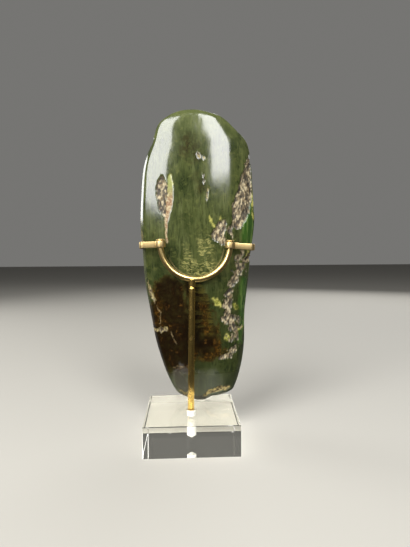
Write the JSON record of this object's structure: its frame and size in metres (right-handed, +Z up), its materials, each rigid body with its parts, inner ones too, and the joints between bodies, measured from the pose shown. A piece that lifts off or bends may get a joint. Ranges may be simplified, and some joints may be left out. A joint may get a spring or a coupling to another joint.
{
  "type": "axe head on display stand",
  "caption": "Polished green jadeite axe head standing butt down on a clear block, held by a brass post, a U-shaped fork and two side arms.",
  "frame": {"origin": "centre of the clear block's underside, on the surface it stands on", "axes": "+Z up along the axe head, +X to the right of its polished face, -Y the way that face looks"},
  "size_m": [0.082, 0.064, 0.2243],
  "materials": {
    "jadeite": "gloss",
    "brass": "gloss",
    "acrylic": "polished"
  },
  "bodies": {
    "root": {"axe_head": "jadeite", "acrylic_block": "acrylic", "post": "brass", "fork": "brass", "arm_left": "brass", "arm_right": "brass"}
  },
  "joints": []
}
